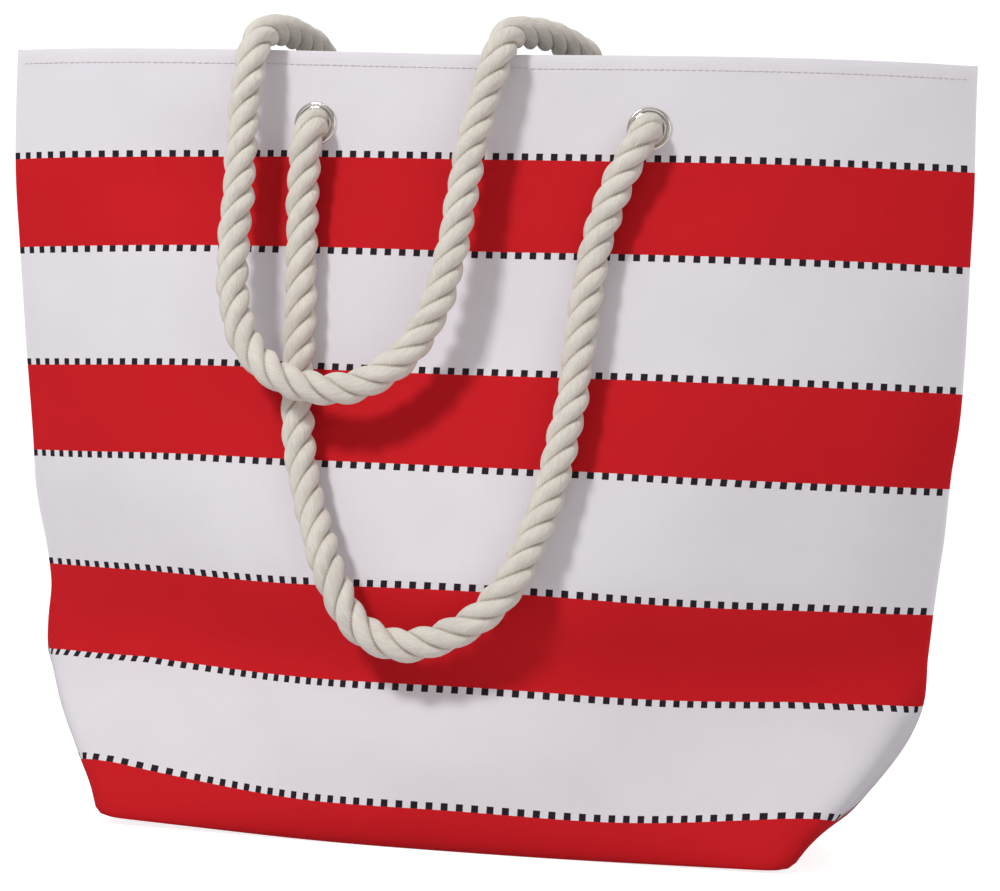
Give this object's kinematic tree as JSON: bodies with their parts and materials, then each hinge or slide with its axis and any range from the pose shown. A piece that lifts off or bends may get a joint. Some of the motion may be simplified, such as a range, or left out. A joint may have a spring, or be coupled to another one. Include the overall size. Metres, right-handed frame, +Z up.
{
  "type": "beach bag",
  "caption": "Wide fabric tote with a boxed base, a striped printed cloth and rope handles that swing through metal eyelets.",
  "frame": {"origin": "middle of the base, on the ground", "axes": "+Z up, front face towards -Y, +X to the right across the bag's width"},
  "size_m": [0.4958, 0.187, 0.4132],
  "materials": {
    "printed_cloth": "smooth plain weave, printed with red bands edged in small black squares",
    "base_cloth": "smooth plain weave, red",
    "lining_cloth": "thin plain weave, off-white",
    "thread": "spun sewing thread",
    "nickel": "nickel plate, polished",
    "cotton_rope": "three-strand twisted cotton, natural cream"
  },
  "bodies": {
    "bag": {"front_panel": "printed_cloth", "back_panel": "printed_cloth", "base_panel": "base_cloth", "front_lining": "lining_cloth", "back_lining": "lining_cloth", "base_lining": "lining_cloth", "front_facing": "printed_cloth", "back_facing": "printed_cloth", "front_topstitch": "thread", "back_topstitch": "thread", "eyelet_front_left": "nickel", "eyelet_front_right": "nickel", "eyelet_back_left": "nickel", "eyelet_back_right": "nickel", "washer_front_left": "nickel", "washer_front_right": "nickel", "washer_back_left": "nickel", "washer_back_right": "nickel", "knot_front_left": "cotton_rope", "knot_front_right": "cotton_rope", "knot_back_left": "cotton_rope", "knot_back_right": "cotton_rope", "handle_back_end_left": "cotton_rope", "handle_back_end_right": "cotton_rope"},
    "front_rope": {"handle_front": "cotton_rope"},
    "back_rope_arch": {"handle_back_arch_left": "cotton_rope", "handle_back_arch_right": "cotton_rope"},
    "back_rope": {"handle_back": "cotton_rope"}
  },
  "joints": [
    {"name": "front_handle_lift", "type": "hinge", "parent": "bag", "child": "front_rope", "pos_m": [0, -0.0415, 0.354], "axis": [-1, 0, 0], "range_deg": [0, 175]},
    {"name": "back_handle_lift", "type": "hinge", "parent": "bag", "child": "back_rope_arch", "pos_m": [0, 0.045, 0.403], "axis": [-1, 0, 0], "range_deg": [0, 90]},
    {"name": "back_handle_unfold", "type": "hinge", "parent": "back_rope_arch", "child": "back_rope", "pos_m": [0, -0.045, 0.403], "axis": [-1, 0, 0], "range_deg": [0, 90]}
  ],
  "couplings": [
    {"joint": "back_handle_unfold", "follows": "back_handle_lift", "ratio": 1}
  ]
}
